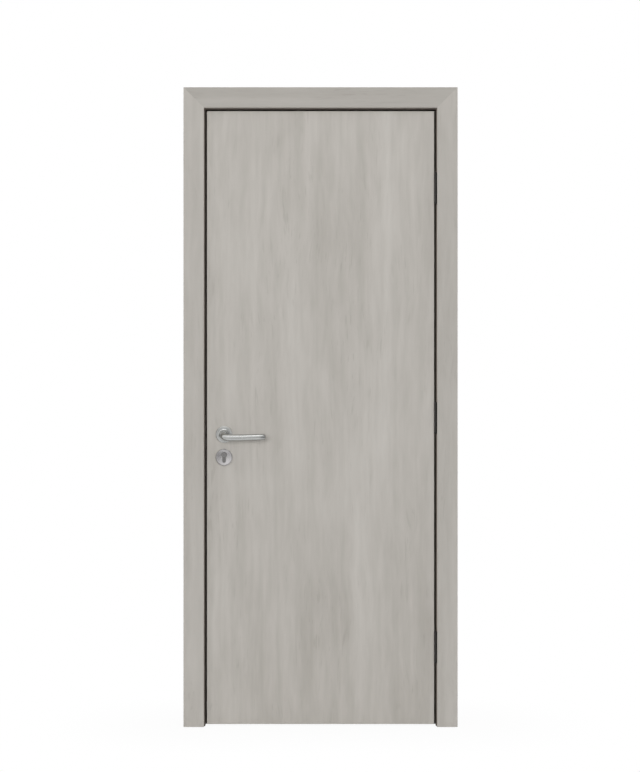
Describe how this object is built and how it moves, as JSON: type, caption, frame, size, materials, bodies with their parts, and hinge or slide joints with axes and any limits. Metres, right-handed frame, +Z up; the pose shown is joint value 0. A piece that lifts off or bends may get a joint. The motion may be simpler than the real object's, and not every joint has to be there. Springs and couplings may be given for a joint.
{
  "type": "interior door",
  "caption": "Plain laminated interior door in a rebated frame with flat casings, slim pin hinges, lever handles on round roses and a profile cylinder.",
  "frame": {"origin": "on the back face of the hinge jamb, at floor level and half way through the wall", "axes": "+Z up, -Y towards the pictured face, +X from the lock side to the hinge side, out of the hinge jamb's back"},
  "size_m": [0.886, 0.1755, 2.0675],
  "materials": {
    "leaf_laminate": "pale grey-beige oak-grain laminate, matt",
    "frame_laminate": "pale grey-beige oak-grain laminate, matt, grain along each board",
    "core_board": "raw board, hidden inside the leaf",
    "dark_seal": "dark brown soft seal, matt",
    "dark_hinge": "black-brown satin coating",
    "lock_steel": "brushed, fine vertical lines",
    "satin_nickel": "satin nickel, fine brushed"
  },
  "bodies": {
    "frame": {"jamb_hinge": "frame_laminate", "jamb_lock": "frame_laminate", "jamb_head": "frame_laminate", "casing_front_hinge": "frame_laminate", "casing_front_lock": "frame_laminate", "casing_front_head": "frame_laminate", "casing_rear_hinge": "frame_laminate", "casing_rear_lock": "frame_laminate", "casing_rear_head": "frame_laminate", "seal_hinge": "dark_seal", "seal_lock": "dark_seal", "seal_head": "dark_seal", "strike_plate": "lock_steel", "hinge_top_frame_plate": "dark_hinge", "hinge_middle_frame_plate": "dark_hinge", "hinge_bottom_frame_plate": "dark_hinge", "hinge_top_pin": "dark_hinge", "hinge_middle_pin": "dark_hinge", "hinge_bottom_pin": "dark_hinge"},
    "leaf": {"leaf_core": "core_board", "leaf_skin_front": "leaf_laminate", "leaf_skin_rear": "leaf_laminate", "leaf_lipping_lock": "leaf_laminate", "leaf_lipping_hinge": "leaf_laminate", "leaf_lipping_top": "leaf_laminate", "leaf_lipping_bottom": "leaf_laminate", "lock_case": "lock_steel", "lock_faceplate": "lock_steel", "latch_bolt": "lock_steel", "dead_bolt": "lock_steel", "euro_cylinder": "satin_nickel", "lever_rose_front": "satin_nickel", "lever_rose_rear": "satin_nickel", "cylinder_rose_front": "satin_nickel", "cylinder_rose_rear": "satin_nickel", "hinge_top_leaf_plate": "dark_hinge", "hinge_middle_leaf_plate": "dark_hinge", "hinge_bottom_leaf_plate": "dark_hinge"},
    "lever": {"lever_front": "satin_nickel", "lever_rear": "satin_nickel", "spindle": "lock_steel", "lock_follower": "lock_steel"}
  },
  "joints": [
    {"name": "leaf_swing", "type": "hinge", "parent": "frame", "child": "leaf", "pos_m": [-0.0318, -0.055, 1], "axis": [0, 0, 1], "range_deg": [0, 110]},
    {"name": "lever_turn", "type": "hinge", "parent": "leaf", "child": "lever", "pos_m": [-0.7165, -0.03, 0.945], "axis": [0, 1, 0], "range_deg": [0, 40], "stiffness_Nm_per_rad": 1.5, "springref_deg": -34.38}
  ]
}
